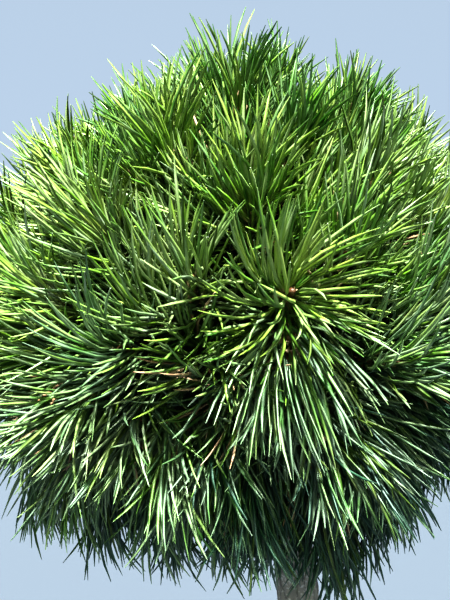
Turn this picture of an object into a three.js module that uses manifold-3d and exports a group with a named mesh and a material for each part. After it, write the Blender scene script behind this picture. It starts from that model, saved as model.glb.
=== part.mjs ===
// A mugo pine grown as a small standard: one clear trunk rooted in the ground, and a dense ball of
// stiff paired needles on top of it. The trunk runs up through the ball and carries three whorls of
// boughs. Each bough feeds one mass of foliage, and so does the tip of the trunk.
// Millimetres, +Z up, -Y to the front. The origin is the middle of the cut at ground level.
import * as THREE from "three";
import { mergeVertices } from "three/addons/utils/BufferGeometryUtils.js";
import Module from "manifold-3d";

const wasm = await Module();
wasm.setup();

// ---- driving dimensions ----

const crown = {
  centre: new THREE.Vector3(-36, 0, 800),
  halfWidth: 200, // to the needle tips
  halfHeight: 186,
  lumpShare: 0.045, // how far one shoot may fall short of the outline
};
const trunk = {
  radiusAtHead: 14.2, // under the crown
  radiusAtFoot: 16.4, // above the root flare
  flareRadius: 13, // added at ground level
  flareHeight: 34, // in which the flare falls to a third
  rootRidges: 5,
  ridgeShare: 0.3, // of the flare
  radiusAtTip: 4.2,
  head: 610, // height at which the trunk meets the ball
  leanFoot: 600, // heights between which the trunk bends over to the crown's centre
  leanHead: 820,
  sway: 4.5, // of the clear trunk, to the right
  frontSway: 2.7, // and to the back
  sides: 15,
  rings: 20,
  ringCrowding: 1.35, // gathers the rings in the flare
};
const bough = {
  radiusAtFoot: 3.6,
  radiusAtTip: 2.9,
  stagger: 15, // in height, between the boughs of a whorl
  risePolar: 66, // degrees from +Z, as it leaves the trunk
  riseLength: 24,
  entryLength: 20, // straight into its mass
  sides: 5,
  steps: 4,
};
const jointGap = 0.3; // between limbs, and between a limb and its mass
const entryRadius = 60; // from the crown's centre to where a mass begins

// The whorls from top to bottom. polar is the angle from +Z at which the whorl's masses lie, height
// is where its boughs leave the trunk, counted from the crown's centre, and turn sets the first one.
const whorls = [
  { name: "upper", polar: 45, count: 5, turn: 18, height: -6 },
  { name: "middle", polar: 85, count: 8, turn: 6, height: -34 },
  { name: "lower", polar: 127, count: 7, turn: 31, height: -66 },
];

const shoots = {
  count: 104,
  lowestPolar: 157, // degrees from +Z, so that the trunk stays clear
  turn: 111, // degrees, of the whole spiral
  pull: 0.07, // towards the middle of the mass, which opens a gap round it
  length: 50, // of the core
  radius: 5.3,
  rings: [[0.08, 0.82], [0.38, 1], [0.68, 0.94], [0.9, 0.74], [1, 0]], // share of length, of radius
  sides: 4,
  trunkClearance: 9,
};
// The heart of a mass is its crowded inner twigs and old needles, as one lump. Its rings are
// distances from the crown's centre with a share of the widest half angle.
const heart = {
  halfAngle: 16.5,
  rings: [[64, 0.2], [72, 0.9], [89, 1], [95, 0.5], [96.5, 0]],
  sides: 6,
};
const twig = {
  forkRadius: 66, // the first fork, from the crown's centre
  forkStep: 2.6,
  footRadius: 2.2,
  tipRadius: 1.9,
  bendLength: 10,
  steps: 1,
  stemRadius: 3.6,
  stemTaper: 0.7,
  stemSides: 5,
};
const needle = {
  length: 56,
  shortest: 0.84, // of that length
  spreadAtFoot: 62, // degrees from the shoot's axis
  spreadAtTip: 26,
  spreadOfCap: 7,
  spreadJitter: 4,
  turnJitter: 7,
  lowest: 0.1, // share of the core below which it stays bare
  capFoot: 0.93, // share of the core from which the needles close over it
  trunkClearance: 9,
  pullBacks: [1, 0.84, 0.7, 0.57, 0.44, 0.32], // of the spread, tried until it keeps to its space
};

const degrees = Math.PI / 180;
const goldenTurn = 137.508;
const up = new THREE.Vector3(0, 0, 1);

// ---- small tools ----

// A repeatable stream of numbers from 0 to 1.
function seededStream(seed) {
  let state = seed >>> 0;
  return () => {
    state = (Math.imul(state, 1664525) + 1013904223) >>> 0;
    return state / 4294967296;
  };
}

function smoothStep(low, high, value) {
  const share = Math.min(1, Math.max(0, (value - low) / (high - low)));
  return share * share * (3 - 2 * share);
}

// The unit vector at an angle from +Z and a turn round it, both in degrees. Turn 0 is the front.
function directionAt(polar, turn) {
  const flat = Math.sin(polar * degrees);
  return new THREE.Vector3(
    flat * Math.sin(turn * degrees),
    -flat * Math.cos(turn * degrees),
    Math.cos(polar * degrees),
  );
}

function fromCentre(direction, distance) {
  return crown.centre.clone().addScaledVector(direction, distance);
}

// A closed geometry as a solid: vertices welded, and the faces that collapse at a pole dropped.
function solidFrom(geometry) {
  const bare = new THREE.BufferGeometry();
  bare.setAttribute("position", geometry.getAttribute("position"));
  bare.setIndex(geometry.getIndex());
  const welded = mergeVertices(bare, 1e-3);
  const corners = welded.getIndex().array;
  const kept = [];
  for (let i = 0; i < corners.length; i += 3) {
    const [a, b, c] = corners.slice(i, i + 3);
    if (a !== b && b !== c && c !== a) kept.push(a, b, c);
  }
  const mesh = new wasm.Mesh({
    numProp: 3,
    vertProperties: new Float32Array(welded.getAttribute("position").array),
    triVerts: new Uint32Array(kept),
  });
  return new wasm.Manifold(mesh);
}

function geometryFrom(solid) {
  const mesh = solid.getMesh();
  const geometry = new THREE.BufferGeometry();
  geometry.setAttribute("position", new THREE.BufferAttribute(mesh.vertProperties, 3));
  geometry.setIndex(new THREE.BufferAttribute(mesh.triVerts, 1));
  geometry.computeVertexNormals();
  return geometry;
}

// A cylinder whose rings are moved onto stations, each a point with a heading and a radius. The
// frame is carried from ring to ring by the least turn, so that the sides do not twist.
function sweep(stations, sides) {
  const last = stations.length - 1;
  const shape = new THREE.CylinderGeometry(1, 1, 1, sides, last);
  const frame = new THREE.Quaternion();
  let heading = new THREE.Vector3(0, 1, 0);
  const frames = stations.map((station) => {
    frame.premultiply(new THREE.Quaternion().setFromUnitVectors(heading, station.heading));
    heading = station.heading;
    return frame.clone();
  });
  const position = shape.getAttribute("position");
  for (let i = 0; i < position.count; i++) {
    const k = Math.round((position.getY(i) + 0.5) * last);
    const { point, radius } = stations[k];
    const moved = new THREE.Vector3(position.getX(i) * radius, 0, position.getZ(i) * radius);
    moved.applyQuaternion(frames[k]).add(point);
    position.setXYZ(i, moved.x, moved.y, moved.z);
  }
  return shape;
}

// Stations spread evenly over a curve, with a radius that tapers.
function stationsOn(curve, footRadius, tipRadius, steps) {
  return Array.from({ length: steps + 1 }, (unused, k) => ({
    point: curve.getPointAt(k / steps),
    heading: curve.getTangentAt(k / steps),
    radius: THREE.MathUtils.lerp(footRadius, tipRadius, k / steps),
  }));
}

// ---- the trunk ----

// The middle of the trunk at a height: a slight sway below, then over to the crown's centre.
function trunkAxis(height) {
  const lean = smoothStep(trunk.leanFoot, trunk.leanHead, height);
  const bow = Math.sin((Math.PI * height) / trunk.head) * (1 - lean);
  return new THREE.Vector3(crown.centre.x * lean + trunk.sway * bow, trunk.frontSway * bow, height);
}

function trunkRadius(height) {
  const top = crown.centre.z + entryRadius;
  if (height > trunk.head) {
    const share = (height - trunk.head) / (top - trunk.head);
    return THREE.MathUtils.lerp(trunk.radiusAtHead, trunk.radiusAtTip, share);
  }
  return THREE.MathUtils.lerp(trunk.radiusAtFoot, trunk.radiusAtHead, height / trunk.head);
}

// True where a point keeps a clearance from the trunk's surface.
function clearOfTrunk(point, clearance) {
  if (point.z > crown.centre.z + entryRadius) return true;
  const axis = trunkAxis(point.z);
  return Math.hypot(point.x - axis.x, point.y - axis.y) > trunkRadius(point.z) + clearance;
}

// The part of the radius that the root flare adds, with its ridges, at a turn round the trunk.
function rootFlare(height, turn) {
  const fade = Math.pow(3, -height / trunk.flareHeight);
  const ridge = 1 + trunk.ridgeShare * Math.cos(trunk.rootRidges * turn);
  return trunk.flareRadius * fade * ridge;
}

// The trunk from the cut at ground level to its tip, or the same grown by a clearance all round.
function trunkSolid(clearance) {
  const top = crown.centre.z + entryRadius + clearance;
  const profile = [new THREE.Vector2(0, 0)];
  for (let ring = 0; ring <= trunk.rings; ring++) {
    const share = ring / trunk.rings;
    const height = top * Math.pow(share, trunk.ringCrowding);
    profile.push(new THREE.Vector2(trunkRadius(height) + clearance, height));
  }
  profile.push(new THREE.Vector2(0, top));
  const shape = new THREE.LatheGeometry(profile, trunk.sides).rotateX(Math.PI / 2);
  const position = shape.getAttribute("position");
  for (let i = 0; i < position.count; i++) {
    const height = position.getZ(i);
    const radius = Math.hypot(position.getX(i), position.getY(i));
    const turn = Math.atan2(position.getY(i), position.getX(i));
    const wider = radius > 1e-6 ? (radius + rootFlare(height, turn)) / radius : 1;
    const axis = trunkAxis(height);
    position.setXYZ(i, axis.x + position.getX(i) * wider, axis.y + position.getY(i) * wider, height);
  }
  return solidFrom(shape);
}

// ---- masses and shoots ----

// How far the needle tips reach from the crown's centre in a direction.
function crownReach(direction) {
  const flat = Math.hypot(direction.x, direction.y) / crown.halfWidth;
  return 1 / Math.hypot(flat, direction.z / crown.halfHeight);
}

// One mass on the tip of the trunk and one on each bough.
function layOutMasses() {
  const masses = [{ name: "foliage_top", direction: up.clone(), bough: null, shoots: [] }];
  for (const whorl of whorls) {
    for (let i = 0; i < whorl.count; i++) {
      const turn = whorl.turn + (360 * i) / whorl.count;
      const rise = whorl.height + (i % 2) * bough.stagger;
      masses.push({
        name: `foliage_${whorl.name}_${i + 1}`,
        direction: directionAt(whorl.polar, turn),
        bough: { name: `bough_${whorl.name}_${i + 1}`, height: crown.centre.z + rise, turn },
        shoots: [],
      });
    }
  }
  return masses;
}

function nearest(list, direction) {
  return list.reduce((best, item) =>
    item.direction.dot(direction) > best.direction.dot(direction) ? item : best,
  );
}

// The shoots lie on a spiral that spaces them evenly over the ball, and each joins the mass that it
// is nearest to.
function layOutShoots(masses) {
  const random = seededStream(7);
  const span = 1 - Math.cos(shoots.lowestPolar * degrees);
  const all = [];
  for (let i = 0; i < shoots.count; i++) {
    const polar = Math.acos(1 - (span * (i + 0.5)) / shoots.count) / degrees;
    const direction = directionAt(polar, shoots.turn + goldenTurn * i);
    const mass = nearest(masses, direction);
    direction.addScaledVector(mass.direction, shoots.pull).normalize();
    const reach = crownReach(direction) * (1 - crown.lumpShare * random());
    const tip = fromCentre(direction, reach - needle.length);
    if (!clearOfTrunk(tip, shoots.trunkClearance)) continue;
    const shoot = { direction, reach, seed: 1000 + i };
    mass.shoots.push(shoot);
    all.push(shoot);
  }
  return all;
}

// A shoot's own space is the part of the ball that is nearer to its axis than to any other's.
// True where a point lies in it, clear of the border, and clear of the trunk.
function inOwnSpace(point, shoot, all) {
  const arm = point.clone().sub(crown.centre);
  for (const other of all) {
    if (other === shoot) continue;
    const across = shoot.direction.clone().sub(other.direction);
    if (arm.dot(across) < jointGap * across.length()) return false;
  }
  return clearOfTrunk(point, needle.trunkClearance);
}

// A shoot with its twig: the twig leaves the mass's stem at a fork and swells into a slim core of
// flat facets. On each facet of the core stands a needle that tapers from the facet's own outline.
function shootSolid(fork, shoot, all) {
  const random = seededStream(shoot.seed);
  const top = shoot.reach - needle.length;
  const foot = top - shoots.length;
  const bend = fromCentre(shoot.direction, foot - twig.bendLength);
  const curve = new THREE.QuadraticBezierCurve3(fork, bend, fromCentre(shoot.direction, foot));
  const stations = stationsOn(curve, twig.footRadius, twig.tipRadius, twig.steps);
  for (const [share, swell] of shoots.rings) {
    const point = fromCentre(shoot.direction, foot + shoots.length * share);
    stations.push({ point, heading: shoot.direction, radius: shoots.radius * swell });
  }
  const facets = sweep(stations, shoots.sides).toNonIndexed().getAttribute("position");
  const corners = [];
  for (let i = 0; i < facets.count; i += 3) {
    const facet = [0, 1, 2].map((k) => new THREE.Vector3().fromBufferAttribute(facets, i + k));
    if (new THREE.Triangle(...facet).getArea() < 1e-3) continue;
    const tip = needleTip(facet, shoot, foot, top, random, all);
    if (!tip) corners.push(...facet);
    else corners.push(facet[0], facet[1], tip, facet[1], facet[2], tip, facet[2], facet[0], tip);
  }
  return solidFrom(new THREE.BufferGeometry().setFromPoints(corners));
}

// The point of the needle on a facet, or null where the facet stays bare.
function needleTip(facet, shoot, foot, top, random, all) {
  const middle = facet[0].clone().add(facet[1]).add(facet[2]).divideScalar(3);
  const arm = middle.clone().sub(crown.centre);
  const along = arm.dot(shoot.direction);
  const outward = arm.clone().addScaledVector(shoot.direction, -along).normalize();
  const share = (along - foot) / (top - foot);
  const jitter = needle.spreadJitter * (2 * random() - 1);
  const turn = needle.turnJitter * (2 * random() - 1) * degrees;
  const length = needle.length * THREE.MathUtils.lerp(needle.shortest, 1, random());
  if (share < needle.lowest) return null;
  const sideways = THREE.MathUtils.lerp(needle.spreadAtFoot, needle.spreadAtTip, share) + jitter;
  const spread = share > needle.capFoot ? needle.spreadOfCap + jitter : sideways;
  outward.applyAxisAngle(shoot.direction, turn);
  for (const pullBack of needle.pullBacks) {
    const angle = spread * pullBack * degrees;
    const tip = middle
      .clone()
      .addScaledVector(shoot.direction, length * Math.cos(angle))
      .addScaledVector(outward, length * Math.sin(angle));
    if (inOwnSpace(tip, shoot, all)) return tip;
  }
  return null;
}

// The heart of a mass, round its stem.
function heartSolid(mass) {
  const stations = heart.rings.map(([distance, share]) => ({
    point: fromCentre(mass.direction, distance),
    heading: mass.direction,
    radius: distance * Math.tan(heart.halfAngle * share * degrees),
  }));
  return solidFrom(sweep(stations, heart.sides));
}

// A mass: its stem goes on from the bough's tip, and a twig leaves it for each shoot.
function massSolid(mass, all) {
  const foot = entryRadius + jointGap;
  const head = twig.forkRadius + twig.forkStep * mass.shoots.length;
  const line = new THREE.LineCurve3(fromCentre(mass.direction, foot), fromCentre(mass.direction, head));
  const tipRadius = twig.stemRadius * twig.stemTaper;
  const stem = sweep(stationsOn(line, twig.stemRadius, tipRadius, 1), twig.stemSides);
  const forks = mass.shoots.map((shoot, i) => {
    const fork = fromCentre(mass.direction, twig.forkRadius + twig.forkStep * i);
    return shootSolid(fork, shoot, all);
  });
  return wasm.Manifold.union([solidFrom(stem), heartSolid(mass), ...forks]);
}

// A bough: out of the trunk, cut clear of it, and round to its mass.
function boughSolid(mass, grownTrunk) {
  const root = trunkAxis(mass.bough.height);
  const tip = fromCentre(mass.direction, entryRadius);
  const curve = new THREE.CubicBezierCurve3(
    root,
    root.clone().addScaledVector(directionAt(bough.risePolar, mass.bough.turn), bough.riseLength),
    tip.clone().addScaledVector(mass.direction, -bough.entryLength),
    tip,
  );
  const stations = stationsOn(curve, bough.radiusAtFoot, bough.radiusAtTip, bough.steps);
  return solidFrom(sweep(stations, bough.sides)).subtract(grownTrunk);
}

// ---- the plant ----

const barkMaterial = new THREE.MeshStandardMaterial({ color: 0x75685a, roughness: 0.95, metalness: 0 });
const boughMaterial = new THREE.MeshStandardMaterial({ color: 0x7a6247, roughness: 0.9, metalness: 0 });
const needleMaterial = new THREE.MeshStandardMaterial({ color: 0x3f7a2a, roughness: 0.45, metalness: 0 });

function namedMesh(name, solid, material) {
  const mesh = new THREE.Mesh(geometryFrom(solid), material);
  mesh.name = name;
  return mesh;
}

const plant = new THREE.Group();
const masses = layOutMasses();
const allShoots = layOutShoots(masses);
const grownTrunk = trunkSolid(jointGap);
plant.add(namedMesh("trunk", trunkSolid(0), barkMaterial));
for (const mass of masses) {
  if (mass.bough) plant.add(namedMesh(mass.bough.name, boughSolid(mass, grownTrunk), boughMaterial));
  plant.add(namedMesh(mass.name, massSolid(mass, allShoots), needleMaterial));
}

export default plant;
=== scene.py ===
import math

import bpy
import numpy as np
from mathutils import Matrix, Vector, noise


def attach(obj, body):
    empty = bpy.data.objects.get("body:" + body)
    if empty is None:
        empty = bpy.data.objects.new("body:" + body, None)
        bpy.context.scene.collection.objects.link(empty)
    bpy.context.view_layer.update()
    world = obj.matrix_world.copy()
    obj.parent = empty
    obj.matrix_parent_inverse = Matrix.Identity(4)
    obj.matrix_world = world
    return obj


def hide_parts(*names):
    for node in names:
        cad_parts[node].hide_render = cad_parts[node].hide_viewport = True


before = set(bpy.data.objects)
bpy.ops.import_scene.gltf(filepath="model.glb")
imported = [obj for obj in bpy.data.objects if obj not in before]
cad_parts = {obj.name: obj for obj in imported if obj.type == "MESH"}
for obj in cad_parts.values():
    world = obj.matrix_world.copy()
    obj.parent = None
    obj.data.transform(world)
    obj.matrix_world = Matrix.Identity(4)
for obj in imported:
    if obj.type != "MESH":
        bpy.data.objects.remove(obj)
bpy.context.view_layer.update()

# A mugo pine on a clear trunk. The foliage grows from the same rule as the solids: three whorls of
# boughs and a leader, a mass of twigs on each, and shoots spread over the ball on a spiral.
# Metres, +Z up, -Y to the front. Turn 0 is the front, polar 0 is straight up.

goldenTurn = math.radians(137.508)
anyTurn = 6.28  # radians: the range of chance starts round a shoot
tiny = 1e-6


class Wire:  # an output socket that can stand in a sum, such as 1 - mask
    def __init__(self, graph, node, socket):
        self.graph = graph
        self.node = node
        self.socket = socket

    def output(self, name):
        return Wire(self.graph, self.node, self.node.outputs[name])

    def maths(self, operation, first, second):
        return self.graph.add("ShaderNodeMath", {0: first, 1: second}, operation=operation)

    def __add__(self, other):
        return self.maths("ADD", self, other)

    def __sub__(self, other):
        return self.maths("SUBTRACT", self, other)

    def __mul__(self, other):
        return self.maths("MULTIPLY", self, other)

    def __pow__(self, other):
        return self.maths("POWER", self, other)

    def __rsub__(self, other):
        return self.maths("SUBTRACT", other, self)

    __radd__ = __add__
    __rmul__ = __mul__


class Graph:  # adds any node to a tree: its settings first, then the values or wires of its sockets
    def __init__(self, tree):
        self.tree = tree

    def add(self, kind, sockets=None, **settings):
        node = self.tree.nodes.new(kind)
        for name, value in settings.items():
            setattr(node, name, value)
        for name, value in (sockets or {}).items():
            self.join(value, node.inputs[name])
        live = [socket for socket in node.outputs if socket.enabled]
        return Wire(self, node, live[0] if live else None)

    def join(self, value, socket):
        if isinstance(value, Wire):
            self.tree.links.new(value.socket, socket)
        else:
            socket.default_value = value


class Surface(Graph):  # a material's tree, with patterns in object space
    def __init__(self, name):
        self.material = bpy.data.materials.new(name)
        self.material.use_nodes = True
        super().__init__(self.material.node_tree)
        self.places = self.add("ShaderNodeTexCoord").output("Object")

    def speckle(self, scale, detail, places=None):
        return self.add("ShaderNodeTexNoise", {
            "Vector": places or self.places, "Scale": scale, "Detail": detail})

    def ramp(self, value, low, high, most=1.0):  # from 0 at low to most at high
        return self.add("ShaderNodeMapRange", {
            "Value": value, "From Min": low, "From Max": high, "To Max": most})

    def mix(self, factor, dark, light):
        mixed = self.add("ShaderNodeMix", {0: factor}, data_type="RGBA")
        for place, colour in ((6, dark), (7, light)):
            self.join(colour if isinstance(colour, Wire) else (*colour, 1), mixed.node.inputs[place])
        return mixed.output("Result")

    def give(self, name, value):  # to the shader
        self.join(value, self.tree.nodes["Principled BSDF"].inputs[name])


def placeObject(name, data):
    thing = bpy.data.objects.new(name, data)
    bpy.context.scene.collection.objects.link(thing)
    return thing


class Growth(Graph):  # a geometry tree with named inputs, which makes plain meshes of one material
    def __init__(self, name, inputs):
        super().__init__(bpy.data.node_groups.new(name, "GeometryNodeTree"))
        face = self.tree.interface
        face.new_socket("Geometry", in_out="INPUT", socket_type="NodeSocketGeometry")
        for label, kind in {**inputs, "material": "Material"}.items():
            face.new_socket(label, in_out="INPUT", socket_type="NodeSocket" + kind)
        face.new_socket("Geometry", in_out="OUTPUT", socket_type="NodeSocketGeometry")
        self.entry = self.add("NodeGroupInput")

    def given(self, label):
        return self.entry.output(label)

    def close(self, shape):
        real = self.add("GeometryNodeRealizeInstances", {"Geometry": shape})
        material = self.given("material")
        painted = self.add("GeometryNodeSetMaterial", {"Geometry": real, "Material": material})
        self.add("NodeGroupOutput", {"Geometry": painted})

    def grow(self, name, seedMesh, values):
        holder = placeObject(name + "Seed", seedMesh)
        modifier = holder.modifiers.new("grow", "NODES")
        modifier.node_group = self.tree
        for item in self.tree.interface.items_tree:
            if item.in_out == "INPUT" and item.name in values:
                modifier[item.identifier] = values[item.name]
        ready = holder.evaluated_get(bpy.context.evaluated_depsgraph_get())
        mesh = bpy.data.meshes.new_from_object(ready)
        holder.modifiers.remove(modifier)
        bpy.data.objects.remove(holder)
        mesh.name = name
        return placeObject(name, mesh)


def pointMesh(name, points, edges=(), **attributes):
    mesh = bpy.data.meshes.new(name)
    mesh.from_pydata([tuple(p) for p in points], [tuple(e) for e in edges], [])
    for label, values in attributes.items():
        values = np.asarray(values, dtype=np.int32 if label == "kind" else np.float32)
        flat = values.ndim == 1
        kind = "INT" if label == "kind" else "FLOAT" if flat else "FLOAT_VECTOR"
        layer = mesh.attributes.new(label, kind, "POINT")
        layer.data.foreach_set("value" if flat else "vector", values.ravel())
    return mesh


def attribute(graph, label, kind="FLOAT"):
    return graph.add("GeometryNodeInputNamedAttribute", {"Name": label}, data_type=kind)


crownRule = {
    "halfWidth": 0.200,
    "halfHeight": 0.186,
    "lumpShare": 0.045,
    "entry": 0.060,          # from the crown's centre to where a mass begins
    "shootCount": 104,
    "lowestPolar": 157,
    "spiralTurn": 111,
    "pull": 0.07,
    "shootLength": 0.050,
    "needleReach": 0.056,
    "trunkClearance": 0.009,
}
trunkRule = {
    "radiusAtHead": 0.0142,
    "radiusAtFoot": 0.0164,
    "radiusAtTip": 0.0042,
    "head": 0.610,
    "leanFoot": 0.600,
    "leanHead": 0.820,
    "sway": 0.0045,
    "frontSway": 0.0027,
    "flareRadius": 0.013,
    "flareHeight": 0.034,
    "rootRidges": 5,
    "ridgeShare": 0.3,
}
whorls = [
    {"name": "upper", "polar": 45, "count": 5, "turn": 18, "height": -0.006},
    {"name": "middle", "polar": 85, "count": 8, "turn": 6, "height": -0.034},
    {"name": "lower", "polar": 127, "count": 7, "turn": 31, "height": -0.066},
]
boughRule = {
    "radiusAtFoot": 0.0036,
    "radiusAtTip": 0.0029,
    "stagger": 0.015,
    "risePolar": 66,
    "riseLength": 0.024,
    "entryLength": 0.020,
    "steps": 40,
    "collar": 0.9,           # how much thicker at the foot
    "collarFade": 9,
}
twigRule = {
    "forkRadius": 0.066,
    "forkStep": 0.0026,
    "bendLength": 0.010,
    "stemRadius": 0.0036,
    "radiusAtFoot": 0.0024,
    "radiusAtBud": 0.0017,
    "stemGap": 0.0003,       # between a bough's tip and the stem that goes on from it
    "stemShare": 0.8,        # of the stem's radius, at its foot
}


def crownMiddle():  # straight under the tip of the trunk
    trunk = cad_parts["trunk"].data
    places = np.empty(len(trunk.vertices) * 3)
    trunk.vertices.foreach_get("co", places)
    places = places.reshape(-1, 3)
    tip = places[places[:, 2] > places[:, 2].max() - tiny].mean(axis=0)
    return np.array([tip[0], tip[1], tip[2] - crownRule["entry"]])


crownCentre = crownMiddle()
print("crown centre", crownCentre.round(4))


def seededStream(seed):
    state = [seed & 0xFFFFFFFF]

    def draw():
        state[0] = (state[0] * 1664525 + 1013904223) & 0xFFFFFFFF
        return state[0] / 4294967296
    return draw


def blend(low, high, share):
    return low + (high - low) * share


def smoothStep(low, high, value):
    share = np.clip((value - low) / (high - low), 0, 1)
    return share * share * (3 - 2 * share)


def unit(vector):
    return vector / np.linalg.norm(vector, axis=-1, keepdims=True)


def directionAt(polar, turn):
    polar, turn = math.radians(polar), math.radians(turn)
    flat = math.sin(polar)
    return np.array([flat * math.sin(turn), -flat * math.cos(turn), math.cos(polar)])


def crownReach(direction):
    flat = math.hypot(direction[0], direction[1]) / crownRule["halfWidth"]
    return 1 / math.hypot(flat, direction[2] / crownRule["halfHeight"])


def trunkAxis(height):
    lean = smoothStep(trunkRule["leanFoot"], trunkRule["leanHead"], height)
    bow = np.sin(np.pi * height / trunkRule["head"]) * (1 - lean)
    return np.stack([crownCentre[0] * lean + trunkRule["sway"] * bow,
                     trunkRule["frontSway"] * bow + 0 * height, height], axis=-1)


def trunkRadius(height):
    top = crownCentre[2] + crownRule["entry"]
    above = np.clip((height - trunkRule["head"]) / (top - trunkRule["head"]), 0, 1)
    below = np.clip(height / trunkRule["head"], 0, 1)
    clear = blend(trunkRule["radiusAtFoot"], trunkRule["radiusAtHead"], below)
    return np.where(above > 0, blend(trunkRule["radiusAtHead"], trunkRule["radiusAtTip"], above), clear)


def clearOfTrunk(points, clearance):
    axis = trunkAxis(points[..., 2])
    offset = np.hypot(points[..., 0] - axis[..., 0], points[..., 1] - axis[..., 1])
    over = points[..., 2] > crownCentre[2] + crownRule["entry"]
    return over | (offset > trunkRadius(points[..., 2]) + clearance)


def layOutMasses():
    masses = [{"name": "foliage_top", "direction": np.array([0.0, 0.0, 1.0]), "bough": None, "shoots": []}]
    for whorl in whorls:
        for i in range(whorl["count"]):
            turn = whorl["turn"] + 360 * i / whorl["count"]
            rise = whorl["height"] + (i % 2) * boughRule["stagger"]
            ending = f"{whorl['name']}_{i + 1}"
            bough = {"name": "bough_" + ending, "height": crownCentre[2] + rise, "turn": turn}
            masses.append({"name": "foliage_" + ending, "direction": directionAt(whorl["polar"], turn),
                           "bough": bough, "shoots": []})
    return masses


def spiral(count, firstTurn):  # directions spread evenly, from straight up to the lowest shoots
    span = 1 - math.cos(math.radians(crownRule["lowestPolar"]))
    for i in range(count):
        polar = math.degrees(math.acos(1 - span * (i + 0.5) / count))
        yield directionAt(polar, firstTurn + math.degrees(goldenTurn) * i)


def layOutShoots(masses):
    draw = seededStream(7)
    for i, direction in enumerate(spiral(crownRule["shootCount"], crownRule["spiralTurn"])):
        mass = max(masses, key=lambda item: item["direction"] @ direction)
        direction = unit(direction + crownRule["pull"] * mass["direction"])
        reach = crownReach(direction) * (1 - crownRule["lumpShare"] * draw())
        bud = crownCentre + direction * (reach - crownRule["needleReach"])
        if clearOfTrunk(bud, crownRule["trunkClearance"]):
            mass["shoots"].append({"axis": direction, "reach": reach, "seed": 1000 + i})


masses = layOutMasses()
layOutShoots(masses)
massNames = [mass["name"] for mass in masses]
boughNames = [mass["bough"]["name"] for mass in masses if mass["bough"]]
print("masses", len(masses), "shoots", sum(len(mass["shoots"]) for mass in masses))


def bezier(points, steps):
    t = np.linspace(0, 1, steps + 1)[:, None]
    while len(points) > 1:
        points = [(1 - t) * a + t * b for a, b in zip(points[:-1], points[1:])]
    return points[0]


finerRule = {
    "count": 330,            # tried for finer shoots, on the same kind of spiral
    "spiralTurn": 47,
    "taken": 0.140,          # radians: nearer than this to a main shoot and the place is taken
    "lumpShare": 0.100,
    "forkShare": (-0.20, 0.30),  # of the main shoot's length, where the finer one leaves it
    "radius": 0.0015,
    "footGirth": 1.25,       # times that radius
    "ringStep": 0.0026,      # along a twig
    "fewestRings": 4,
    "rise": 0.62,            # how far shoots turn up in the top half of the crown
    "riseBand": (-0.2, 0.4),  # the heights of a shoot's direction over which that sets in
    "droop": 1.70,           # and how far they hang in the lower half
    "hangBand": (0.02, 0.85),  # and over which this does, counted down
    "lean": 0.15,            # to the right, all over
    "clump": 0.45,           # how far a finer shoot turns to its main one
    "sink": 0.9,             # how far it stays behind, for each radian between them
    "sinkFrom": 0.12,        # radians
    "furthest": 1.02,        # of its main shoot's reach
    "curve": 0.5,            # of its length, straight behind its bud
    "wander": 0.12,
    "rosettes": [            # open ones that face the front: polar, turn, rise, hanging share, painted light tone
        (79, 8, 0.12, 0.10, "Sunlit"),
        (89, 8, -0.75, 0.75, "Mid"),
    ],
    "rosetteClear": 0.20,    # radians round each, without finer shoots
    "hollows": [             # dark gaps among the shoots, as a polar, a turn and a half width in degrees
        (101, -16, 7),
        (118, -30, 6),
        (84, 22, 5),
    ],
    "notches": [             # dips in the crown's outline, in the same way
        (32, -54, 15),
        (23, 40, 9),
        (140, -34, 11),
        (144, 2, 11),
        (38, 150, 12),
        (60, -135, 12),
        (128, 120, 12),
    ],
    "swells": [              # fuller or flatter: polar, turn, half width, share of the crown's reach
        (126, -84, 32, 0.12),
        (60, 76, 42, -0.10),
        (42, -74, 34, -0.08),
        (34, -120, 26, -0.06),
        (54, 118, 22, -0.06),
        (27, 132, 20, 0.06),
        (116, 52, 26, -0.05),
        (148, 48, 26, 0.08),
        (145, -70, 18, -0.06),
    ],
    "notchEdge": 1.4,        # of its half width, where a notch ends
    "notchLean": 0.55,       # how far its shoots lean away from its middle
    "notchLength": 0.66,     # of the needles in its middle
}


class Paths:  # chains of points with a thickness, for one limb tree
    def __init__(self):
        self.points = []
        self.edges = []
        self.thick = []

    def run(self, line, thick):
        start = len(self.points)
        self.points.extend(line)
        self.thick.extend(thick)
        self.edges.extend((start + k, start + k + 1) for k in range(len(line) - 1))


def stepsFor(*points):
    length = sum(float(np.linalg.norm(b - a)) for a, b in zip(points[:-1], points[1:]))
    return max(finerRule["fewestRings"], int(length / finerRule["ringStep"]))


def boughLine(mass):
    bough = mass["bough"]
    root = trunkAxis(np.array(bough["height"]))
    tip = crownCentre + mass["direction"] * crownRule["entry"]
    rise = directionAt(boughRule["risePolar"], bough["turn"]) * boughRule["riseLength"]
    entry = mass["direction"] * boughRule["entryLength"]
    return bezier([root, root + rise, tip - entry, tip], boughRule["steps"])


def hang(height):  # 0 in the upper half of the crown, 1 at its lowest needles
    return float(smoothStep(*finerRule["hangBand"], -height))


def degreesApart(direction, polar, turn):
    return math.degrees(math.acos(max(-1.0, min(1.0, float(directionAt(polar, turn) @ direction)))))


def notchesAt(direction):  # the way out of each notch, and how deep in it this direction lies
    for polar, turn, width in finerRule["notches"]:
        inside = finerRule["notchEdge"] - degreesApart(direction, polar, turn) / width
        yield unit(direction - directionAt(polar, turn) + tiny), float(smoothStep(0, 1, inside))


def swellAt(direction):
    share = 1.0
    for polar, turn, width, amount in finerRule["swells"]:
        share += amount * float(smoothStep(0, 1, 1 - degreesApart(direction, polar, turn) / width))
    return share


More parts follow.
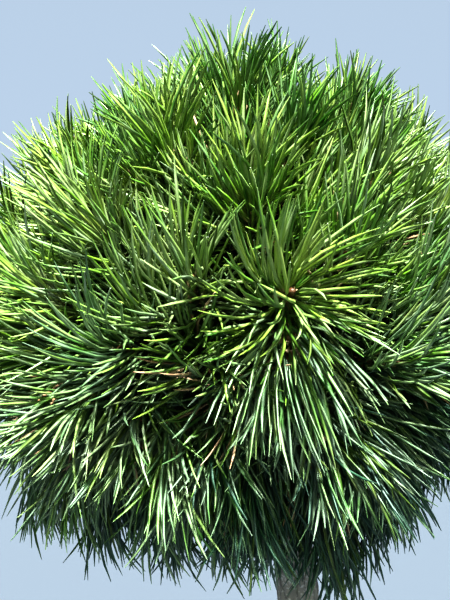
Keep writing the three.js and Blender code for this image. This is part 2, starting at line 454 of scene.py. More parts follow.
def headingAt(direction):  # where a shoot points: up a little above, down below, and out of a notch
    height = direction[2]
    pull = finerRule["rise"] * float(smoothStep(*finerRule["riseBand"], height))
    pull -= finerRule["droop"] * hang(height)
    apart = sum(finerRule["notchLean"] * depth * away for away, depth in notchesAt(direction))
    return unit(direction + np.array([finerRule["lean"], 0, pull * (1 - abs(height) ** 3)]) + apart)


def lengthAt(direction):  # the needles' share of their length: they are shorter in a notch
    return blend(1, finerRule["notchLength"], max(depth for away, depth in notchesAt(direction)))


def inHollow(direction):
    return any(degreesApart(direction, polar, turn) < width for polar, turn, width in finerRule["hollows"])


def turnToRosettes(shoots):  # the nearest main shoot takes each rosette's place
    for polar, turn, rise, hanging, tone in finerRule["rosettes"]:
        direction = directionAt(polar, turn)
        free = [shoot for shoot in shoots if "rosette" not in shoot]
        nearest = max(free, key=lambda shoot: shoot["axis"] @ direction)
        nearest["axis"] = direction
        nearest["reach"] = crownReach(direction)
        nearest["rosette"] = hanging
        nearest["tone"] = tone
        nearest["heading"] = unit(direction + np.array([0, 0, rise]))


def layOutFinerShoots(mains, rng):  # each on the nearest main shoot
    axes = np.array([shoot["axis"] for shoot in mains])
    made = []
    for direction in spiral(finerRule["count"], finerRule["spiralTurn"]):
        closeness = axes @ direction
        main = mains[int(np.argmax(closeness))]
        share = rng.uniform(*finerRule["forkShare"])
        apart = math.acos(min(1.0, float(closeness.max())))
        lump = finerRule["lumpShare"] * rng.uniform(0, 1)
        lump += finerRule["sink"] * max(0, apart - finerRule["sinkFrom"])
        most = main["reach"] * finerRule["furthest"]
        reach = min(crownReach(direction) * swellAt(direction), most) * (1 - lump)
        taken = finerRule["rosetteClear"] if "rosette" in main else finerRule["taken"]
        if apart < taken or inHollow(direction):
            continue
        bud = crownCentre + direction * (reach - crownRule["needleReach"])
        if not clearOfTrunk(bud, crownRule["trunkClearance"]):
            continue
        start = main["foot"] + main["axis"] * crownRule["shootLength"] * share
        heading = headingAt(unit(blend(direction, main["axis"], finerRule["clump"])))
        heading = unit(heading + finerRule["wander"] * rng.normal(0, 1, 3))
        bend = bud - heading * finerRule["curve"] * float(np.linalg.norm(bud - start))
        made.append({"line": bezier([start, bend, bud], stepsFor(start, bend, bud)),
                     "axis": direction, "main": main})
    return made


twigPaths = Paths()
boughPaths = Paths()
mainShoots = []
innerTwigs = []
twigRng = np.random.default_rng(41)

allShoots = [shoot for mass in masses for shoot in mass["shoots"]]
turnToRosettes(allShoots)
for shoot in allShoots:
    shoot["reach"] *= swellAt(shoot["axis"])
for mass in masses:
    heading = mass["direction"]
    headRadius = twigRule["forkRadius"] + twigRule["forkStep"] * len(mass["shoots"])
    if mass["bough"]:
        line = boughLine(mass)
        share = np.linspace(0, 1, len(line))
        collar = 1 + boughRule["collar"] * np.exp(-share * boughRule["collarFade"])
        boughPaths.run(line, blend(boughRule["radiusAtFoot"], boughRule["radiusAtTip"], share) * collar)
    ends = crownCentre + heading * np.array([[crownRule["entry"] + twigRule["stemGap"]], [headRadius]])
    stem = bezier(list(ends), stepsFor(*ends))
    stemFoot = twigRule["stemRadius"] * twigRule["stemShare"]
    twigPaths.run(stem, np.linspace(stemFoot, twigRule["radiusAtFoot"], len(stem)))
    for i, shoot in enumerate(mass["shoots"]):
        axis = shoot["axis"]
        top = shoot["reach"] - crownRule["needleReach"]
        foot = crownCentre + axis * (top - crownRule["shootLength"])
        fork = crownCentre + heading * (twigRule["forkRadius"] + twigRule["forkStep"] * i)
        bend = foot - axis * twigRule["bendLength"]
        twig = bezier([fork, bend, foot], stepsFor(fork, bend, foot))
        bud = crownCentre + axis * top
        shoot.setdefault("heading", headingAt(axis))
        lean = bud - shoot["heading"] * crownRule["shootLength"] * finerRule["curve"]
        core = bezier([foot, lean, bud], stepsFor(foot, bud))
        line = np.concatenate([twig, core[1:]])
        twigPaths.run(line, np.linspace(twigRule["radiusAtFoot"], twigRule["radiusAtBud"], len(line)))
        innerTwigs.append(twig)
        shoot["foot"] = foot
        shoot["line"] = core
        mainShoots.append(shoot)

finerShoots = layOutFinerShoots(mainShoots, twigRng)
for shoot in finerShoots:
    radius = finerRule["radius"]
    twigPaths.run(shoot["line"], np.linspace(radius * finerRule["footGirth"], radius, len(shoot["line"])))
print("finer shoots", len(finerShoots), "twig points", len(twigPaths.points))


needleRule = {
    "length": 0.056,
    "shortest": 0.80,        # of that length
    "halfWidth": 0.00086,
    "halfWidths": (0.86, 1.12),  # times that
    "rings": 5,
    "sides": 3,
    "gather": 1.4,           # how far the rings gather towards the point
    "bends": (0.04, 0.14, 0.25, 0.35, 0.45, 0.54),  # of the length, one needle shape for each
    "mainPairs": 60,
    "finerPairs": 46,
    "lowShare": 0.66,        # of those pairs, at the crown's underside
    "footSpread": (38, 58),  # degrees from the shoot, at the top of the crown and below
    "tipSpread": (9, 14),
    "spreadJitter": 5.5,
    "spreadFade": 1.2,
    "tuftWidths": (0.85, 1.12),
    "alongJitter": (0.2, 0.8),
    "turnJitter": 0.2,
    "footSink": 0.7,         # of the shoot's radius, where a needle's foot is
    "pairSplit": 0.058,      # half the gap between two needles of a pair, as a slope
    "pairSplits": (0.4, 1.6),  # times that
    "sag": 0.95,             # how far the needles of the lower half hang
    "sags": (0.5, 1.2),      # times that
    "upCurl": 0.75,          # how far the others curl up
    "downCurl": 2.4,
    "inCurl": (0.6, 0.15),   # how far they curl to the shoot, above and below
    "swirl": 0.60,           # how far they curl round it
    "curlJitter": 0.32,
    "bendShares": (0.45, 1.0),  # of the curl's force that bends a needle
    "furthest": 1.012,       # of the crown's reach
    "cornerReach": 0.05,     # more than that where the crown turns under
    "tipClearance": 0.004,   # from the trunk
    "middleClearance": 0.002,
    "aimJitter": 0.04,
    "bareShare": 0.45,       # of the main shoots, bare at the foot
    "bareDressed": 0.58,     # of such a shoot that bears needles
    "toneShares": (0.48, 0.21, 0.21, 0.10),  # needles in the shoot's own tone, the two beside it, old ones
    "ownTones": 0.5,         # share of the finer shoots that differ from their main one
    "dressedLength": 0.046,  # of a finer shoot, from its bud
    "dressedMost": 0.92,     # of its whole length
}
trianglesMost = 190000  # in one piece
tuftRule = {  # pairs, their spreads, share of the needles' length, share of the shoot that bears them
    "rosette": (74, (76, 24), 1.0, 0.58),
    "inner": (12, (76, 60), 0.8, 1.0),
    "dead": (4, (72, 55), 0.85, 0.8),
    "withered": (7, (44, 26), 0.9, 0.5),
}
deadEvery = {"dead": 4, "withered": 9}  # on one finer shoot in so many: a few needles, or a whole tuft

# painted light and shade, dealt out by shoot from the lit, yellower side to the shaded, bluer one, with a
# darker painted shade at the top, then old and dead needles in their own colours: dark, light, pale wax
# bloom with painted sheen, gloss
needleTones = {
    "Crest": ((0.024, 0.102, 0.001), (0.080, 0.165, 0.020), (0.28, 0.34, 0.22), 0.9),
    "Sunlit": ((0.080, 0.190, 0.002), (0.210, 0.284, 0.052), (0.33, 0.41, 0.18), 1.0),
    "Fresh": ((0.072, 0.172, 0.006), (0.195, 0.255, 0.090), (0.34, 0.40, 0.25), 1.0),
    "Mid": ((0.070, 0.172, 0.016), (0.185, 0.245, 0.128), (0.37, 0.42, 0.34), 0.9),
    "Deep": ((0.050, 0.130, 0.026), (0.130, 0.185, 0.115), (0.26, 0.30, 0.27), 0.5),
    "Blue": ((0.017, 0.064, 0.028), (0.050, 0.094, 0.064), (0.14, 0.19, 0.17), 0.4),
    "Old": ((0.018, 0.060, 0.002), (0.066, 0.112, 0.010), (0.20, 0.21, 0.12), 0.5),
    "Dead": ((0.260, 0.145, 0.070), (0.500, 0.370, 0.240), (0.58, 0.47, 0.32), 0.4),
}
topShadeFrom = 0.69  # the height of a shoot's direction from which it gets the top's darker painted shade
litSide = unit(np.array([-0.30, -0.20, 0.93]))  # the side painted as lit: needles turned to it get lighter, yellower tones
toneEdges = (("Sunlit", 0.60), ("Fresh", 0.26), ("Mid", -0.14), ("Deep", -0.42))  # along that way, from painted light to painted shade
toneDrift = 0.12


class Spray:  # the needles, sheaths or buds of one tone, as points with an aim
    def __init__(self):
        self.rows = {"points": [], "aim": [], "side": [], "stretch": [], "kind": []}

    def put(self, points, aim, side, stretch, kind):
        for name, value in zip(self.rows, (points, aim, side, stretch, kind)):
            self.rows[name].append(value)

    def gathered(self):
        return {name: np.concatenate(value) for name, value in self.rows.items()}


sprays = {name: Spray() for name in needleTones}
sheaths = Spray()
buds = Spray()
spentCones = Spray()
budSet = {  # one at the tip of a shoot and a few smaller ones round it
    "length": 0.0095,
    "radius": 0.0024,
    "scales": 3,
    "rings": 7,
    "rosetteSize": 1.2,
    "finerSize": 0.82,
    "tipSizes": (0.95, 1.15),
    "tipDepth": 0.001,
    "besides": (2, 5),       # from this many up to one fewer
    "besideSizes": (0.5, 0.75),
    "besideDepth": 0.0022,
    "besideOut": 0.0016,
    "leans": (16, 30),
}
spentSet = {  # on one main shoot in so many: what is left of a cluster of pollen cones
    "every": 9,
    "first": 4,
    "count": 34,
    "stretch": (0.30, 0.72),  # of the shoot, from its foot
    "length": 0.0052,
    "radius": 0.0013,
    "scales": 2,
    "rings": 4,
    "sizes": (0.6, 1.2),
    "rises": (0.2, 1.0),     # how far they point along the shoot
    "footSink": 0.8,         # of the shoot's radius
    "speckle": 500.0,
    "dark": (0.20, 0.105, 0.020),
    "light": (0.62, 0.45, 0.13),
    "rough": 0.6,
}
sheathSet = {
    "length": 0.0062,
    "radius": 0.00105,
    "tipShare": 0.85,        # of that radius
    "girths": (0.9, 1.15),
    "lengths": (0.8, 1.2),
    "speckle": 160.0,
    "dark": (0.16, 0.085, 0.035),
    "light": (0.56, 0.43, 0.27),
    "rough": 0.55,
}


# painted light by place: shoots turned to the lit side get the lighter tones, those turned away and under
# get painted shade, and the topmost ones a darker painted shade
def toneFor(axis, rng):
    place = float(axis @ litSide) + rng.normal(0, toneDrift)
    if axis[2] + rng.normal(0, toneDrift / 3) > topShadeFrom:
        return "Crest"
    for name, least in toneEdges:
        if place > least:
            return name
    return "Blue"


def square(direction):  # two directions across a third one
    across = unit(np.cross(direction, [0.31, 0.2, 0.93]))
    return across, np.cross(direction, across)


def alongLine(line, shares):
    steps = np.linalg.norm(np.diff(line, axis=0), axis=1)
    place = np.concatenate([[0], np.cumsum(steps)]) / steps.sum()
    slope = np.gradient(line, place, axis=0)
    points = np.stack([np.interp(shares, place, line[:, k]) for k in range(3)], axis=-1)
    ahead = np.stack([np.interp(shares, place, slope[:, k]) for k in range(3)], axis=-1)
    return points, unit(ahead)


# at random, each needle takes its shoot's painted light tone, a tone next to it, else the old needles'
# colour
def mixedTones(tone, pairs, rng):
    order = list(needleTones)
    place = order.index(tone)
    if tone in ("Old", "Dead"):
        return np.full(pairs, tone)
    near = [tone, order[max(0, place - 1)], order[min(order.index("Blue"), place + 1)], "Old"]
    return rng.choice(near, pairs, p=needleRule["toneShares"])


def tuftAt(direction, pairs):  # close and upright at the top of the crown, wide below, thin underneath
    height = direction[2]
    share = float(smoothStep(0.0, 1.0, 1 - height))
    spreads = blend(*needleRule["footSpread"], share), blend(*needleRule["tipSpread"], share)
    full = int(round(pairs * blend(1, needleRule["lowShare"], hang(height))))
    return full, spreads, lengthAt(direction)


def dress(line, radius, tone, rng, pairs, spreads, longest, dressed, sheathed=True, low=None):
    rule = needleRule
    grown = (np.arange(pairs) + rng.uniform(*rule["alongJitter"], pairs)) / pairs
    base, axis = alongLine(line, 1 - dressed * (1 - grown))
    turn = goldenTurn * np.arange(pairs) + rng.uniform(0, anyTurn)
    turn += rng.normal(0, rule["turnJitter"], pairs)
    across, other = square(axis)
    out = np.cos(turn)[:, None] * across + np.sin(turn)[:, None] * other
    tangent = np.cross(axis, out)
    width = rng.uniform(*rule["tuftWidths"])
    angle = np.radians(blend(*spreads, grown ** rule["spreadFade"]) * width
                       + rng.normal(0, rule["spreadJitter"], pairs))
    base = base + out * radius * rule["footSink"]
    heading = axis * np.cos(angle)[:, None] + out * np.sin(angle)[:, None]
    if sheathed:
        curl = unit(axis - heading * np.sum(heading * axis, axis=1)[:, None])
        girth = rng.uniform(*sheathSet["girths"], pairs)
        size = np.stack([girth, girth, rng.uniform(*sheathSet["lengths"], pairs)], axis=-1)
        sheaths.put(base, heading, curl, size, np.zeros(pairs, dtype=int))
    if low is None:
        low = hang((line[-1][2] - crownCentre[2]) / (crownRule["halfWidth"] - crownRule["needleReach"]))
    level = 1 - abs(float(unit(line[-1] - crownCentre)[2]))
    swell = swellAt(unit(line[-1] - crownCentre))
    down = np.array([0.0, 0.0, -1.0])
    for way in (-1, 1):
        tones = mixedTones(tone, pairs, rng)
        split = way * rule["pairSplit"] * rng.uniform(*rule["pairSplits"], pairs)[:, None]
        aim = heading + tangent * split + rng.normal(0, rule["aimJitter"], (pairs, 3))
        aim = unit(aim + down * rule["sag"] * low * rng.uniform(*rule["sags"], (pairs, 1)))
        curl = axis * blend(*rule["inCurl"], low) - tangent * rule["swirl"]
        curl = curl + down * blend(-rule["upCurl"] * level, rule["downCurl"], low)
        curl = curl + rule["curlJitter"] * rng.normal(0, 1, (pairs, 3))
        curl = curl - aim * np.sum(curl * aim, axis=1)[:, None]
        force = np.linalg.norm(curl, axis=1)
        long = rule["length"] * longest * rng.uniform(rule["shortest"], 1, pairs)
        tips = base + aim * long[:, None]
        size = [crownRule["halfWidth"], crownRule["halfWidth"], crownRule["halfHeight"]]
        offset = (tips - crownCentre) / size
        height = offset[:, 2]
        corner = 4 * height ** 2 * (1 - height ** 2).clip(0, 1) * (height < 0)
        reach = np.linalg.norm(offset, axis=1)
        clear = clearOfTrunk(tips, rule["tipClearance"])
        clear &= clearOfTrunk(blend(base, tips, 0.5), rule["middleClearance"])
        clear &= reach < swell * (rule["furthest"] + rule["cornerReach"] * corner)
        wide = rng.uniform(*rule["halfWidths"], pairs)
        stretch = np.stack([wide, wide, long / rule["length"]], axis=-1)
        bend = np.clip(force * rng.uniform(*rule["bendShares"], pairs), 0, 0.999)
        kind = (bend * len(rule["bends"])).astype(int)
        for name in set(tones):
            chosen = clear & (tones == name)
            sprays[name].put(base[chosen], aim[chosen], unit(curl[chosen]), stretch[chosen], kind[chosen])


def putBuds(shoot, size, rng):
    axis = unit(shoot["line"][-1] - shoot["line"][-2])
    across, other = square(axis)
    tip = shoot["line"][-1]
    besides = int(rng.integers(*budSet["besides"]))
    turn = rng.uniform(0, anyTurn)
    for i in range(1 + besides):
        lean = math.radians(rng.uniform(*budSet["leans"])) if i else 0.0
        out = math.cos(turn) * across + math.sin(turn) * other
        aim = axis * math.cos(lean) + out * math.sin(lean)
        foot = tip - axis * budSet["tipDepth"]
        if i:
            foot = tip - axis * budSet["besideDepth"] + out * budSet["besideOut"]
        scale = np.full((1, 3), size * rng.uniform(*budSet["besideSizes" if i else "tipSizes"]))
        buds.put(foot[None], aim[None], square(aim)[0][None], scale, np.zeros(1, dtype=int))
        turn += 2 * math.pi / besides


def putSpentCones(shoot, rng):
    count = spentSet["count"]
    places, axis = alongLine(shoot["line"], rng.uniform(*spentSet["stretch"], count))
    turn = rng.uniform(0, 2 * math.pi, count)
    across, other = square(axis)
    out = np.cos(turn)[:, None] * across + np.sin(turn)[:, None] * other
    aim = unit(out + axis * rng.uniform(*spentSet["rises"], (count, 1)))
    size = rng.uniform(*spentSet["sizes"], (count, 1)) * np.ones(3)
    foot = places + out * twigRule["radiusAtBud"] * spentSet["footSink"]
    spentCones.put(foot, aim, square(aim)[0], size, np.zeros(count, int))


needleRng = np.random.default_rng(5)
# each shoot's needles get the painted light and shade of its place; the rosettes keep the tone they were
# given
for shoot in mainShoots:
    shoot.setdefault("tone", toneFor(shoot["axis"], needleRng))
    bare = needleRng.random() < needleRule["bareShare"]
    if "rosette" in shoot:
        dress(shoot["line"], twigRule["radiusAtBud"], shoot["tone"], needleRng, *tuftRule["rosette"],
              low=shoot["rosette"])
        putBuds(shoot, budSet["rosetteSize"], needleRng)
    else:
        dress(shoot["line"], twigRule["radiusAtBud"], shoot["tone"], needleRng,
              *tuftAt(shoot["axis"], needleRule["mainPairs"]), needleRule["bareDressed"] if bare else 1.0)
        putBuds(shoot, 1.0, needleRng)
for shoot in finerShoots:
    own = "rosette" in shoot["main"] or needleRng.random() < needleRule["ownTones"]
    tone = toneFor(shoot["axis"], needleRng) if own else shoot["main"]["tone"]
    whole = float(np.linalg.norm(np.diff(shoot["line"], axis=0), axis=1).sum())
    dress(shoot["line"], finerRule["radius"], tone, needleRng,
          *tuftAt(shoot["axis"], needleRule["finerPairs"]),
          min(needleRule["dressedMost"], needleRule["dressedLength"] / whole))
    putBuds(shoot, budSet["finerSize"], needleRng)
for twig in innerTwigs:
    dress(twig, twigRule["radiusAtFoot"], "Old", needleRng, *tuftRule["inner"], sheathed=False)
for name, every in deadEvery.items():
    for shoot in finerShoots[::every]:
        dress(shoot["line"], finerRule["radius"], "Dead", needleRng, *tuftRule[name], sheathed=False)

coneRng = np.random.default_rng(23)
for shoot in mainShoots:
    if shoot["seed"] % spentSet["every"] == spentSet["first"]:
        putSpentCones(shoot, coneRng)


def tubeOn(graph, curve, sides, scale):
    ring = graph.add("GeometryNodeCurvePrimitiveCircle", {"Resolution": sides, "Radius": 1.0})
    return graph.add("GeometryNodeCurveToMesh", {
        "Curve": curve, "Profile Curve": ring, "Scale": scale, "Fill Caps": True})


def bodyAlong(graph, place, sides, scale):  # a tube on a line of rings that are set out by their share
    line = graph.add("GeometryNodeCurvePrimitiveLine", {"Start": (0, 0, 0), "End": (0, 0, 1)})
    fine = graph.add("GeometryNodeResampleCurve", {"Curve": line, "Count": graph.given("rings")})
    bent = graph.add("GeometryNodeSetPosition", {"Geometry": fine, "Position": place})
    return tubeOn(graph, bent, sides, scale)


def asInstance(graph, shape):
    return graph.add("GeometryNodeGeometryToInstance", {"Geometry": shape})


def needleShape(graph, bend):
    along = graph.add("GeometryNodeSplineParameter")
    share = 1 - (1 - along) ** needleRule["gather"]
    sweep = share * share * bend * graph.given("length")
    place = graph.add("ShaderNodeCombineXYZ", {"X": sweep, "Z": share * graph.given("length")})
    taper = ((1 - share ** 16) ** 0.6 * 0.76 + 0.24) * graph.given("halfWidth")  # blunt, then a short point
    foot = graph.add("ShaderNodeMath", {0: 0.72 + 2.2 * share, 1: 1.0}, operation="MINIMUM")
    tube = bodyAlong(graph, place, graph.given("sides"), taper * foot)
    return asInstance(graph, graph.add("GeometryNodeSetShadeSmooth", {"Geometry": tube}))


def scatter(graph, shapes):
    pool = graph.add("GeometryNodeJoinGeometry")
    for shape in reversed(shapes):
        graph.tree.links.new(shape.socket, pool.node.inputs[0])
    turned = graph.add("FunctionNodeAxesToRotation", {
        "Primary Axis": attribute(graph, "aim", "FLOAT_VECTOR"),
        "Secondary Axis": attribute(graph, "side", "FLOAT_VECTOR")}, primary_axis="Z", secondary_axis="X")
    placed = graph.add("GeometryNodeInstanceOnPoints", {
        "Points": graph.given("Geometry"), "Instance": pool, "Pick Instance": True,
        "Instance Index": attribute(graph, "kind", "INT"), "Rotation": turned,
        "Scale": attribute(graph, "stretch", "FLOAT_VECTOR")})
    graph.close(placed)


needleTree = Growth("needles", {"length": "Float", "halfWidth": "Float", "rings": "Int", "sides": "Int"})
scatter(needleTree, [needleShape(needleTree, bend) for bend in needleRule["bends"]])

sheathSides = 3
sheathTree = Growth("sheaths", {"length": "Float", "radius": "Float"})
cone = sheathTree.add("GeometryNodeMeshCone", {
    "Vertices": sheathSides, "Side Segments": 1, "Radius Bottom": sheathTree.given("radius"),
    "Radius Top": sheathTree.given("radius") * sheathSet["tipShare"], "Depth": sheathTree.given("length")},
    fill_type="NGON")
scatter(sheathTree, [asInstance(sheathTree, cone)])

conicSides = 5
conicTree = Growth("cones", {"length": "Float", "radius": "Float", "scales": "Int", "rings": "Int"})
along = conicTree.add("GeometryNodeSplineParameter")
place = conicTree.add("ShaderNodeCombineXYZ", {"Z": along * conicTree.given("length")})
tooth = conicTree.add("ShaderNodeMath", {0: along * conicTree.given("scales") + 0.01}, operation="FRACT")
belly = (1 - along ** 2.2) ** 0.7 * (0.72 + 0.5 * along)  # widest below its middle, and pointed
ringed = belly * (1 - tooth * 0.22) * conicTree.given("radius")
body = bodyAlong(conicTree, place, conicSides, ringed)
whole = conicTree.add("GeometryNodeMergeByDistance", {"Geometry": body, "Distance": tiny})
scatter(conicTree, [asInstance(conicTree, whole)])


def needleMaterial(name, dark, light, waxAndSheen, gloss):
    skin = Surface(name)
    fine = skin.speckle(80.0, 2.0)
    green = skin.mix(skin.ramp(skin.speckle(34.0, 2.0), 0.33, 0.67), dark, light)
    # fine specks of pale wax bloom and painted sheen along the needles
    skin.give("Base Color", skin.mix(skin.ramp(fine, 0.45, 0.72, 0.36), green, waxAndSheen))
    skin.give("Roughness", fine * 0.16 + 0.42)
    skin.give("Specular IOR Level", 0.75 * gloss)
    skin.give("Coat Weight", 0.45 * gloss)
    skin.give("Coat Roughness", 0.46)
    return skin.material


def speckledMaterial(name, look):
    skin = Surface(name)
    patch = skin.speckle(look["speckle"], 3.0)
    skin.give("Base Color", skin.mix(patch, look["dark"], look["light"]))
    skin.give("Roughness", look["rough"] + patch * 0.2)
    return skin.material


def budMaterial():  # brown, with pale resin in spots
    skin = Surface("bud")
    patch = skin.speckle(420.0, 4.0)
    brown = skin.mix(patch, (0.024, 0.010, 0.004), (0.115, 0.048, 0.014))
    skin.give("Base Color", skin.mix(skin.ramp(patch, 0.56, 0.66) * 0.45, brown, (0.24, 0.13, 0.065)))
    skin.give("Roughness", 0.42 + patch * 0.2)
    skin.give("Coat Weight", 0.2)
    return skin.material


def twigMaterial(name, look):
    skin = Surface(name)
    patch = skin.speckle(260.0, 5.0)
    scales = skin.add("ShaderNodeTexVoronoi", {"Vector": skin.places, "Scale": 420.0})
    skin.give("Base Color", skin.mix(patch, look["dark"], look["light"]))
    skin.give("Roughness", 0.78 + patch * 0.15)
    skin.give("Normal", skin.add("ShaderNodeBump", {"Strength": 0.5, "Distance": 0.0006, "Height": scales}))
    return skin.material


def settle(piece, slotName, *replaced):
    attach(piece, "root")
    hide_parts(*replaced)


def growPieces(name, spray, tree, slotName, trianglesEach, settings, material):
    book = spray.gathered()
    count = len(book["points"])
    parts = max(1, math.ceil(count / (trianglesMost // trianglesEach)))
    for part, chosen in enumerate(np.array_split(np.arange(count), parts)):
        label = name if parts == 1 else name + "ABCDEFGH"[part]
        seed = pointMesh(label, **{key: value[chosen] for key, value in book.items()})
        piece = tree.grow(label, seed, {**settings, "material": material})
        settle(piece, slotName, *massNames)
        print(piece.name, len(piece.data.polygons), "faces")


needleTriangles = (needleRule["rings"] - 1) * needleRule["sides"] * 2 + 2
for name, look in needleTones.items():
    growPieces("needles" + name, sprays[name], needleTree, "needles", needleTriangles, needleRule,
               needleMaterial("needles" + name, *look))
growPieces("sheaths", sheaths, sheathTree, "needles", sheathSides * 2 + 2, sheathSet,
           speckledMaterial("sheath", sheathSet))
growPieces("buds", buds, conicTree, "bough_bark", conicSides * 2 * budSet["rings"], budSet, budMaterial())
growPieces("spentCones", spentCones, conicTree, "bough_bark", conicSides * 2 * spentSet["rings"], spentSet,
           speckledMaterial("spentCone", spentSet))


limbSets = {
    "twigs": {"paths": twigPaths, "replaced": massNames, "sides": 6, "relief": 0.0007, "reliefScale": 420.0,
              "dark": (0.11, 0.065, 0.035), "light": (0.36, 0.25, 0.15)},
    "boughs": {"paths": boughPaths, "replaced": boughNames, "sides": 12, "relief": 0.0011,
               "reliefScale": 300.0, "dark": (0.10, 0.07, 0.045), "light": (0.34, 0.27, 0.20)},
}
limbTree = Growth("limbs", {"sides": "Int", "relief": "Float", "reliefScale": "Float"})
spline = limbTree.add("GeometryNodeMeshToCurve", {"Mesh": limbTree.given("Geometry")})
tube = tubeOn(limbTree, spline, limbTree.given("sides"), attribute(limbTree, "thick"))
grain = limbTree.add("ShaderNodeTexNoise", {"Scale": limbTree.given("reliefScale"), "Detail": 2.0})
lift = limbTree.add("ShaderNodeVectorMath", {
    0: limbTree.add("GeometryNodeInputNormal"), "Scale": (grain - 0.5) * limbTree.given("relief")},
    operation="SCALE")
rough = limbTree.add("GeometryNodeSetPosition", {"Geometry": tube, "Offset": lift})
limbTree.close(limbTree.add("GeometryNodeSetShadeSmooth", {"Geometry": rough}))

for name, look in limbSets.items():
    paths = look["paths"]
    seed = pointMesh(name, paths.points, paths.edges, thick=paths.thick)
    material = twigMaterial(name[:-1] + "Bark", look)
    limbs = limbTree.grow(name, seed, {**look, "material": material})
    settle(limbs, "bough_bark", *look["replaced"])
    print(name, len(limbs.data.polygons), "faces")


barkSet = {
    "columns": 96,
    "ringStep": 0.003,
    "plateWidth": 0.0075,
    "plateStretch": 2.1,     # height of a plate over its width
    "plateRelief": 0.0011,
    "plateMiddle": 0.75,     # the height of a plate that keeps the trunk's radius
    "plateEdge": 3.2,        # how steep its edges are
    "warp": 0.35,            # of a plate, how far its outline strays
    "warpScale": 0.7,
    "swell": 0.0007,
    "swellSize": 0.02,
    "swellStretch": 0.4,
    "thinRadius": 0.012,     # the relief fades where the trunk is thinner
    "flareShare": 0.97,      # of the solid's root flare
}


def ringFaces(rows, columns, first=0):
    faces = []
    for row in range(rows):
        for column in range(columns):
            a = first + row * columns + column
            b = first + row * columns + (column + 1) % columns
            faces.append((a, b, b + columns, a + columns))
    return faces


def trunkMesh():
    noise.seed_set(1)  # noise_vector follows it
    top = crownCentre[2] + crownRule["entry"]
    rows = int(top / barkSet["ringStep"])
    columns = barkSet["columns"]
    heights = np.linspace(0, top, rows + 1)
    turns = np.arange(columns) * 2 * np.pi / columns
    verts = []
    for height in heights:
        axis = trunkAxis(np.array(height))
        base = float(trunkRadius(np.array(height)))
        fade = 3 ** (-height / trunkRule["flareHeight"])
        for turn in turns:
            ridge = 1 + trunkRule["ridgeShare"] * math.cos(trunkRule["rootRidges"] * turn)
            radius = base + trunkRule["flareRadius"] * fade * ridge * barkSet["flareShare"]
            x, y = math.cos(turn) * radius, math.sin(turn) * radius
            spot = Vector((x, y, height / barkSet["plateStretch"])) / barkSet["plateWidth"]
            spot += barkSet["warp"] * noise.noise_vector(spot * barkSet["warpScale"])
            near = noise.voronoi(spot)[0]
            plate = min(1, (near[1] - near[0]) * barkSet["plateEdge"])
            lump = noise.noise(Vector((x, y, height * barkSet["swellStretch"])) / barkSet["swellSize"])
            relief = barkSet["plateRelief"] * (plate - barkSet["plateMiddle"]) + barkSet["swell"] * lump
            relief *= min(1, base / barkSet["thinRadius"])
            grown = (radius + relief) / radius
            verts.append((axis[0] + x * grown, axis[1] + y * grown, height))
    faces = ringFaces(rows, columns)
    faces.append(tuple(reversed(range(columns))))
    faces.append(tuple(range(rows * columns, (rows + 1) * columns)))
    mesh = bpy.data.meshes.new("trunkBark")
    mesh.from_pydata(verts, [], faces)
    mesh.polygons.foreach_set("use_smooth", [True] * (len(faces) - 2) + [False, False])
    return mesh


def barkMaterial():
    skin = Surface("bark")
    long = skin.add("ShaderNodeMapping", {"Vector": skin.places, "Scale": (1, 1, 0.32)})
    plates = skin.add("ShaderNodeTexVoronoi", {"Vector": long, "Scale": 150.0}, feature="DISTANCE_TO_EDGE")
    crack = skin.ramp(plates, 0.0, 0.10)
    patch = skin.speckle(70.0, 6.0, long)
    flecks = skin.speckle(420.0, 4.0)
    grey = skin.mix(patch, (0.120, 0.100, 0.075), (0.46, 0.42, 0.34))
    flaked = skin.mix(skin.ramp(flecks, 0.54, 0.66) * 0.7, grey, (0.62, 0.58, 0.50))
    skin.give("Base Color", skin.mix(0.45 + crack * 0.55, (0.050, 0.042, 0.034), flaked))
    skin.give("Roughness", 0.82 + patch * 0.12)
    skin.give("Normal", skin.add("ShaderNodeBump", {
        "Strength": 0.55, "Distance": 0.0009, "Height": crack * 0.6 + flecks}))
    return skin.material


trunk = placeObject("trunkBark", trunkMesh())
trunk.data.materials.append(barkMaterial())
settle(trunk, "bark", "trunk")
print("trunk", len(trunk.data.polygons), "faces")


studio = {
    "floorRadius": 3.2,
    "wallRadius": 6.5,
    "wallHeight": 4.0,
    "bendSteps": 12,         # of the curve between them
    "sides": 96,
    "floorColour": (0.061, 0.072, 0.083),
    "wallColour": (0.004, 0.005, 0.007),
    "wallGlow": (0.375, 0.455, 0.550),
    "gradeHeight": 0.5,
    "sunFrom": (0.05, -0.39, 0.92),
    "sunColour": (0.95, 0.97, 1.0),
    "sunPower": 22.6,
    "sunAngle": 6.0,         # degrees across: the edge of a shadow
    "fillFrom": (0.15, -0.95, 0.25),
    "fillColour": (0.86, 1.0, 0.56),
    "fillPower": 4.6,
    "fillAngle": 50.0,
    "skyColour": (0.70, 0.95, 0.86),
    "skyPower": 0.18,
    "distance": 0.47,        # from the camera to the crown's centre
    "elevation": 8.0,
    "lens": 43.5,
    "middleAt": (245, 312),  # where the crown's centre falls in a 450 by 600 frame
    "frame": (450, 600),
}


def paleSweepMaterial():  # the floor takes the sun, and the wall glows, so that it is as pale on every side
    skin = Surface("paleFloor")
    height = skin.add("ShaderNodeSeparateXYZ", {"Vector": skin.places}).output("Z")
    rise = skin.add("ShaderNodeMapRange", {
        "Value": height + skin.speckle(1.3, 2.0) * 0.05, "From Min": 0.0,
        "From Max": studio["gradeHeight"]}, interpolation_type="SMOOTHSTEP")
    skin.give("Base Color", skin.mix(rise, studio["floorColour"], studio["wallColour"]))
    skin.give("Emission Color", skin.mix(rise, (0, 0, 0), studio["wallGlow"]))
    skin.give("Emission Strength", 1.0)
    skin.give("Roughness", 0.9)
    skin.give("Specular IOR Level", 0.0)
    return skin.material


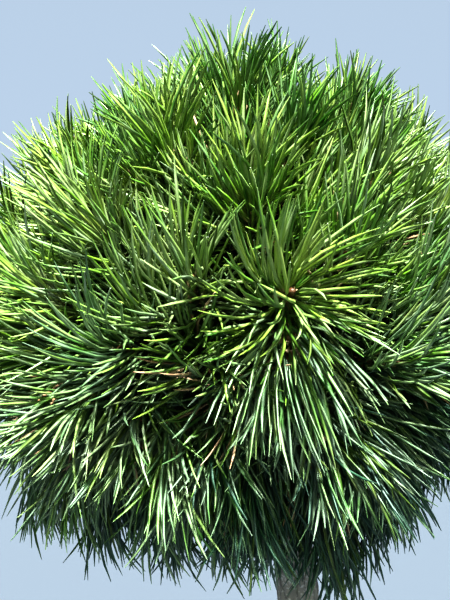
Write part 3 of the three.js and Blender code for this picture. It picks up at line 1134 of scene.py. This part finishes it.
def studioSweep():  # a level floor that curves up into a far wall all round
    bend = studio["wallRadius"] - studio["floorRadius"]
    profile = [(0.0, 0.0), (studio["floorRadius"], 0.0)]
    steps = studio["bendSteps"]
    for k in range(1, steps + 1):
        angle = math.radians(90 / steps * k)
        profile.append((studio["floorRadius"] + bend * math.sin(angle), bend * (1 - math.cos(angle))))
    profile.append((studio["wallRadius"], studio["wallHeight"]))
    sides = studio["sides"]
    verts = [(0.0, 0.0, 0.0)]
    for radius, height in profile[1:]:
        for k in range(sides):
            turn = 2 * math.pi * k / sides
            verts.append((radius * math.cos(turn), radius * math.sin(turn), height))
    faces = [(0, 1 + k, 1 + (k + 1) % sides) for k in range(sides)]
    faces += [face[:1] + face[:0:-1] for face in ringFaces(len(profile) - 2, sides, 1)]  # to face inwards
    mesh = bpy.data.meshes.new("studioSweep")
    mesh.from_pydata(verts, [], faces)
    mesh.polygons.foreach_set("use_smooth", [True] * len(faces))
    sweep = placeObject("studioSweep", mesh)
    sweep.data.materials.append(paleSweepMaterial())


def addLight(name):
    light = bpy.data.lights.new(name, "SUN")
    light.energy = studio[name + "Power"]
    light.color = studio[name + "Colour"]
    light.angle = math.radians(studio[name + "Angle"])
    lamp = placeObject(name, light)
    source = Vector(unit(np.array(studio[name + "From"])))
    lamp.rotation_euler = (-source).to_track_quat("-Z", "Y").to_euler()
    lamp.location = Vector(crownCentre) + source * 2


def addCamera():
    camera = bpy.data.cameras.new("camera")
    camera.lens = studio["lens"]
    camera.sensor_fit = "VERTICAL"
    camera.sensor_height = 36
    camera.clip_start = 0.01
    camera.clip_end = 60
    eye = placeObject("camera", camera)
    rise = math.radians(studio["elevation"])
    outward = Vector((0, -math.cos(rise), math.sin(rise)))
    width, height = studio["frame"]
    scale = studio["lens"] / camera.sensor_height * height
    yaw = math.atan((studio["middleAt"][0] - width / 2) / scale)
    pitch = math.atan((studio["middleAt"][1] - height / 2) / scale)
    aim = (-outward).to_track_quat("-Z", "Y").to_matrix().to_4x4()
    turn = Matrix.Rotation(yaw, 4, "Y") @ Matrix.Rotation(pitch, 4, "X")
    eye.matrix_world = Matrix.Translation(Vector(crownCentre) + outward * studio["distance"]) @ aim @ turn
    bpy.context.scene.camera = eye


studioSweep()
addLight("sun")
addLight("fill")
world = bpy.data.worlds.new("sky")
world.use_nodes = True
backdrop = world.node_tree.nodes["Background"]
backdrop.inputs["Color"].default_value = (*studio["skyColour"], 1)
backdrop.inputs["Strength"].default_value = studio["skyPower"]
bpy.context.scene.world = world
bpy.context.scene.view_settings.view_transform = "Standard"
bpy.context.scene.view_settings.look = "High Contrast"
addCamera()

print("done")
